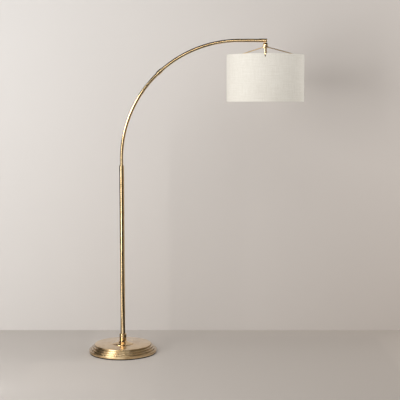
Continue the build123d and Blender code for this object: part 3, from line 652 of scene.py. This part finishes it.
cuts = [((side * WINDOW, 0, 0), (1, 0, 0)) for side in (-1, 1)]
cuts += [((0, 0, gland_height + side * WINDOW), (0, 0, 1)) for side in (-1, 1)]
for point, normal in cuts:
    near = near_gland(cover, 12 * MM, 8 * MM)
    verts = {vert for face in near for vert in face.verts}
    edges = {edge for face in near for edge in face.edges}
    bmesh.ops.bisect_plane(cover, geom=[*near, *verts, *edges], plane_co=point, plane_no=normal)
window = [face for face in near_gland(cover, WINDOW, WINDOW) if abs(face.normal.y) > 0.9]
bmesh.ops.delete(cover, geom=window, context="FACES")
open_edges = [edge for edge in cover.edges if edge.is_boundary]
bmesh.ops.bridge_loops(cover, edges=open_edges)
still_open = sum(edge.is_boundary for edge in cover.edges)
print(len(window), "faces cut for the gland,", still_open, "open edges")
keep("base_cover_shell", cover, spun_brass, "stand", "brushed_brass", "base_cover")

# %% [markdown]
# ## The pole's foot
# A bell-shaped flange spreads the pole's foot on the base, and a collar clamps the pole above it.
# The flange's sweep is a Bezier curve, as a spinner's template would be. The collar has a shallow
# turned groove under its chamfer, which puts a thin dark line where the eye looks for a joint.

# %% Flange and collar
collar_radius = high("base_collar").x
collar_low = low("base_collar").z
collar_high = high("base_collar").z
flange_radius = high("base_flange").x
flange_low = low("base_flange").z
pole_hole = high("pole_lower").y + 0.05 * MM
lip = flange_low + 2.4 * MM

sweep = interpolate_bezier(
    Vector((flange_radius - 2 * MM, 0, lip + 0.4 * MM)),
    Vector((flange_radius - 20 * MM, 0, lip + 7 * MM)),
    Vector((collar_radius + 7 * MM, 0, lip + 6 * MM)),
    Vector((collar_radius, 0, collar_low)),
    24,
)
flange = lathe(
    [(stem_hole, flange_low, 0), (flange_radius, flange_low, 0.3 * MM), (flange_radius, lip, 0.8 * MM)]
    + [(point.x, point.z, 0) for point in sweep]
    + [(stem_hole, collar_low, 0)],
    steps=128,
)
keep("pole_foot_flange", flange, turned_brass, "stand", "brushed_brass", "base_flange")

groove = collar_high - 6.5 * MM
collar = lathe(
    [(pole_hole, collar_low, 0), (collar_radius, collar_low, 0.8 * MM),
     (collar_radius, groove - 0.9 * MM, 0.3 * MM), (collar_radius - 0.9 * MM, groove, 0.3 * MM),
     (collar_radius, groove + 0.9 * MM, 0.3 * MM), (collar_radius, collar_high - 2.6 * MM, 0.7 * MM),
     (collar_radius - 2.6 * MM, collar_high, 0.7 * MM), (pole_hole, collar_high, 0.4 * MM)],
    steps=96,
)
keep("pole_foot_collar", collar, turned_brass, "stand", "brushed_brass", "base_collar")

# %% [markdown]
# ## The shade's cloth
# One strip of linen, laminated to the lining, goes once round the drum. Its long edges roll over
# the wire rings at top and bottom and are glued down on the inside, as a shade maker does it. The
# strip is modelled as it lies: a single open line of corners is turned about the shade's axis, and
# a Solidify modifier gives it the cloth's thickness. The spin starts at the back, where the cloth's
# ends meet. A value laid on each corner before the spin, its distance along the cloth, becomes
# the UV map's second axis, so the weave follows the cloth over the wires.

# %% Shade cloth
CLOTH = 0.3 * MM
TURN_IN = 14 * MM
WIRE = 1.6 * MM
face_radius = shade_radius - 0.1 * MM - CLOTH / 2
lining_radius = high("shade_liner").y - 0.6 * MM
wire_centre = lining_radius - WIRE
wrap = WIRE - 0.3 * MM + CLOTH / 2


def rolled_edge(edge, inward):
    """The cloth's line from its glued end on the lining, round the wire, to the drum's face."""
    centre = edge + inward * WIRE
    glued = lining_radius - CLOTH / 2
    return [
        (glued, edge + inward * TURN_IN, 0),
        (glued, centre + inward * 2.2 * wrap, 0.6 * MM),
        (wire_centre, centre + inward * 1.0 * wrap, 0.6 * MM),
        (wire_centre - wrap, centre + inward * 0.9 * wrap, 0.7 * MM),
        (wire_centre - wrap, edge + inward * CLOTH / 2, 1.1 * MM),
        (face_radius, edge + inward * CLOTH / 2, 0.8 * MM),
    ]


cloth_line = rolled_edge(shade_high, -1) + rolled_edge(shade_low, 1)[::-1]


def weave_map(bm, along=None):
    """Lays a UV map in metres: round the drum from the back, and along the cloth or up it."""
    uv = bm.loops.layers.uv.new("weave")
    for face in bm.faces:
        centre = face.calc_center_median()
        base = math.atan2(head.x - centre.x, centre.y)
        for corner in face.loops:
            place = corner.vert.co
            turn = math.atan2(head.x - place.x, place.y)
            turn += 2 * math.pi * round((base - turn) / (2 * math.pi))
            reach = corner.vert[along] if along else place.z - shade_low
            corner[uv].uv = (turn * shade_radius, reach)
    return bm


cloth = lathe(cloth_line, steps=240, open_ends=True, start=math.pi / 2)
placed(cloth, at_head)
along_cloth = cloth.verts.layers.float["along"]
weave_map(cloth, along_cloth)
shade_cloth = keep("shade_cloth", cloth, shade_linen, "head", "linen", "shade_fabric")
thickness = shade_cloth.modifiers.new("cloth_thickness", "SOLIDIFY")
thickness.thickness = CLOTH
thickness.offset = 0

# %% [markdown]
# The cloth's two ends lap by 10 mm at the back, where nobody looks. The lap is one more thickness
# of linen, so it shows as a low step that runs the height of the drum.

# %% Back seam
LAP = 10 * MM
lap_inner = shade_radius - 0.1 * MM
seam = bmesh.new()
lap_section = [
    seam.verts.new((0, radius, height))
    for radius, height in (
        (lap_inner, shade_low), (lap_inner + CLOTH, shade_low),
        (lap_inner + CLOTH, shade_high), (lap_inner, shade_high),
    )
]
seam.faces.new(lap_section)
bmesh.ops.spin(
    seam, geom=seam.verts[:] + seam.edges[:] + seam.faces[:], cent=(0, 0, 0), axis=(0, 0, 1),
    angle=LAP / shade_radius, steps=4,
)
placed(seam, at_head)
weave_map(seam)
shade_seam = keep("shade_back_seam", seam, shade_linen, "head", "linen")

# %% [markdown]
# ## Lining and rings
# A stiff white plastic lining holds the cloth round. A ring of powder-coated wire stiffens each end.

# %% Lining and rings
lining_outer = lining_radius + 0.6 * MM
edge_gap = CLOTH + 0.1 * MM
lining = lathe(
    [(lining_radius, shade_low + edge_gap, 0.1 * MM), (lining_outer, shade_low + edge_gap, 0.1 * MM),
     (lining_outer, shade_high - edge_gap, 0.1 * MM), (lining_radius, shade_high - edge_gap, 0.1 * MM)],
    steps=240,
)
keep("shade_lining", placed(lining, at_head), styrene, "head", "shade_lining", "shade_liner")

thin = WIRE - CLOTH
for end, height in (("top", shade_high - WIRE), ("bottom", shade_low + WIRE)):
    corners = [(-thin, -thin), (thin, -thin), (thin, thin), (-thin, thin)]
    wire = lathe([(wire_centre + dx, height + dz, 0.96 * thin) for dx, dz in corners], steps=192)
    node = f"shade_{end}_ring"
    keep(f"shade_{end}_wire", placed(wire, at_head), powder_coat, "head", "white_wire", node)

# %% [markdown]
# ## The spider
# Three rods reach out and down from a turned hub, and each is brazed to a clip of bent sheet that
# straddles the shade's rim. Brazing leaves a small fillet of metal round a rod at both ends, and
# that little flare is what tells a made frame from two cylinders pushed together.

# %% Hub and stem
pipe_hole = high("head_pipe").y + 0.05 * MM
step = hub_radius - 5.5 * MM
hub = lathe(
    [(pipe_hole, hub_low, 0), (hub_radius - 1.9 * MM, hub_low, 0.8 * MM),
     (hub_radius, hub_low + 1.9 * MM, 0.8 * MM), (hub_radius, hub_high - 1.9 * MM, 0.8 * MM),
     (hub_radius - 1.9 * MM, hub_high, 0.8 * MM), (step, hub_high, 0.25 * MM),
     (step - 0.5 * MM, hub_high - 0.6 * MM, 0.2 * MM), (step - 1.5 * MM, hub_high - 0.6 * MM, 0.2 * MM),
     (step - 2.0 * MM, hub_high, 0.25 * MM), (pipe_hole, hub_high, 0)],
    steps=96,
)
keep("spider_hub", placed(hub, at_head), head_brass, "head", "brushed_brass", "shade_hub")

stem_radius = high("head_stem").y
stem_low = low("head_stem").z
ring_height = stem_low + 5 * MM
stem = lathe(
    [(pipe_hole, stem_low, 0.3 * MM), (stem_radius, stem_low, 0.7 * MM),
     (stem_radius, ring_height - 0.8 * MM, 0.25 * MM), (stem_radius - 0.7 * MM, ring_height, 0.25 * MM),
     (stem_radius, ring_height + 0.8 * MM, 0.25 * MM), (stem_radius, hub_low, 0.4 * MM),
     (pipe_hole, hub_low, 0.3 * MM)],
    steps=64,
)
keep("head_stem_tube", placed(stem, at_head), head_brass, "head", "brushed_brass", "head_stem")

# %% Rods
ROD = 2.75 * MM
FLARE = 1.0 * MM
SKIN_GAP = 0.3 * MM
CLIP_SHEET = 1.5 * MM
rod_angles = {"front": -94, "left": 141, "right": 19}
clip_inner = wire_centre - WIRE - SKIN_GAP - CLIP_SHEET
clip_outer = shade_radius + SKIN_GAP + CLIP_SHEET
rod_from = Vector((hub_radius - 6 * MM, 0, hub_high - 3 * MM))
rod_to = Vector((clip_inner + 0.5 * MM, 0, shade_high - 1 * MM))
rod_reach = (rod_to - rod_from).length
hub_exit = 6.1 * MM

for side, angle in rod_angles.items():
    rod = lathe(
        [(0, 0, 0), (ROD, 0, 0.3 * MM), (ROD, hub_exit - 1 * MM, 0),
         (ROD + FLARE, hub_exit, 0.4 * MM), (ROD + 0.3 * FLARE, hub_exit + 1.2 * MM, 0.6 * MM),
         (ROD, hub_exit + 3 * MM, 0.8 * MM), (ROD, rod_reach - 4 * MM, 0.8 * MM),
         (ROD + 0.3 * FLARE, rod_reach - 2 * MM, 0.6 * MM),
         (ROD + FLARE, rod_reach - 0.7 * MM, 0.3 * MM), (ROD + FLARE, rod_reach, 0),
         (0, rod_reach, 0)],
        steps=24,
    )
    aim = (rod_to - rod_from).to_track_quat("Z", "Y").to_matrix().to_4x4()
    turn = at_head @ Matrix.Rotation(math.radians(angle), 4, "Z")
    placed(rod, turn @ Matrix.Translation(rod_from) @ aim)
    keep(f"spider_rod_{side}", rod, rod_brass, "head", "brushed_brass", f"spider_arm_{side}")

# %% [markdown]
# A clip starts as its bent centre line, seen from the side. The line is widened to a strip, the
# strip's free corners are rounded, and it gets the sheet's thickness before its edges are eased.

# %% Rim clips
CLIP_WIDTH = 6 * MM
CLIP_BEND = 2.2 * MM
clip_top = high("rim_clips").z
outer_end = low("rim_clips").z
inner_end = clip_top - CLIP_SHEET - 10 * MM


def rim_clip():
    """One clip over the rim, in the plane of its rod."""
    bm = bmesh.new()
    inner = [(clip_inner, inner_end), (clip_inner, clip_top)]
    outer = [(clip_outer, clip_top), (clip_outer, outer_end)]
    line = [bm.verts.new((radius, -CLIP_WIDTH / 2, height)) for radius, height in inner + outer]
    for pair in zip(line, line[1:]):
        bm.edges.new(pair)
    bmesh.ops.bevel(
        bm, geom=line[1:3], offset=CLIP_BEND, offset_type="OFFSET", segments=5, profile=0.5,
        affect="VERTICES", material=-1,
    )
    wide = bmesh.ops.extrude_edge_only(bm, edges=bm.edges[:])["geom"]
    moved = [item for item in wide if isinstance(item, bmesh.types.BMVert)]
    bmesh.ops.translate(bm, verts=moved, vec=(0, CLIP_WIDTH, 0))
    free = [vert for vert in bm.verts if len(vert.link_faces) == 1]
    bmesh.ops.bevel(
        bm, geom=free, offset=1.6 * MM, offset_type="OFFSET", segments=4, profile=0.5,
        affect="VERTICES", material=-1,
    )
    bmesh.ops.recalc_face_normals(bm, faces=bm.faces)
    crown = max(bm.faces, key=lambda face: face.calc_center_median().z)
    if crown.normal.z < 0:
        bmesh.ops.reverse_faces(bm, faces=bm.faces)
    bmesh.ops.solidify(bm, geom=bm.faces[:], thickness=CLIP_SHEET)
    bmesh.ops.recalc_face_normals(bm, faces=bm.faces)
    corners = [edge for edge in bm.edges if edge.calc_face_angle(0.0) > math.radians(60)]
    bmesh.ops.bevel(
        bm, geom=corners, offset=0.25 * MM, offset_type="OFFSET", segments=2, profile=0.5,
        affect="EDGES", material=-1,
    )
    return bm


clips = joined(
    placed(rim_clip(), at_head @ Matrix.Rotation(math.radians(angle), 4, "Z"))
    for angle in rod_angles.values()
)
keep("shade_rim_clips", clips, head_brass, "head", "brushed_brass", "rim_clips")

# %% [markdown]
# ## The lamp holder and the bulb's base
# The holder's thin shell is stiffened by a rolled lip and a pressed bead, and a ferrule guides the
# switch's spindle. The bulb's thread is rolled in thin metal, so its crests and roots are round.

# %% Holder and bulb base
shell_radius = high("socket_shell").y
shell_low = low("socket_shell").z
shell_high = high("socket_shell").z
SHELL_WALL = 0.7 * MM
bead = [(0.0, 0), (1.8, 0), (2.4, 1), (6.0, 1), (6.6, 0), (34.0, 0), (34.6, 1), (36.4, 1), (37.0, 0)]
shell_line = [
    (shell_radius - drop * 0.35 * MM, shell_low + rise_mm * MM, 0.25 * MM) for rise_mm, drop in bead
]
shell = lathe(
    [(shell_radius - SHELL_WALL, shell_low, 0.2 * MM)] + shell_line
    + [(shell_radius, shell_high, 0.2 * MM), (shell_radius - SHELL_WALL, shell_high, 0.2 * MM)],
    steps=96,
)
knob_height = (low("switch_knob").z + high("switch_knob").z) / 2
ferrule = lathe(
    [(2.6 * MM, 0, 0.2 * MM), (4.6 * MM, 0, 0.2 * MM), (4.6 * MM, 0.9 * MM, 0.3 * MM),
     (3.6 * MM, 1.4 * MM, 0.3 * MM), (2.6 * MM, 1.4 * MM, 0.2 * MM)],
    steps=48,
)
ferrule_seat = Matrix.Translation((0, -shell_radius + 0.3 * MM, knob_height))
to_front = ferrule_seat @ Matrix.Rotation(math.pi / 2, 4, "X")
shell = joined([shell, placed(ferrule, to_front)])
keep("lamp_holder_shell", placed(shell, at_head), head_brass, "head", "brushed_brass", "socket_shell")

PITCH = 3.2 * MM
bulb_radius = high("bulb_base").y
bulb_low = low("bulb_base").z
bulb_top = high("bulb_base").z
thread = [(0, bulb_low, 0), (bulb_radius - 0.9 * MM, bulb_low, 0.3 * MM)]
for turn in range(5):
    crest = bulb_low + (turn + 1.2) * PITCH
    thread += [(bulb_radius, crest, 0.7 * MM), (bulb_radius - 0.9 * MM, crest + PITCH / 2, 0.6 * MM)]
thread += [(bulb_radius - 3 * MM, bulb_top - 2.2 * MM, 1 * MM), (4 * MM, bulb_top - 1.2 * MM, 0.5 * MM),
           (3.5 * MM, bulb_top, 0.4 * MM), (0, bulb_top, 0)]
bulb_base = placed(lathe(thread, steps=64), at_head)
keep("bulb_thread", bulb_base, aluminium, "head", "bulb_metal", "bulb_base")
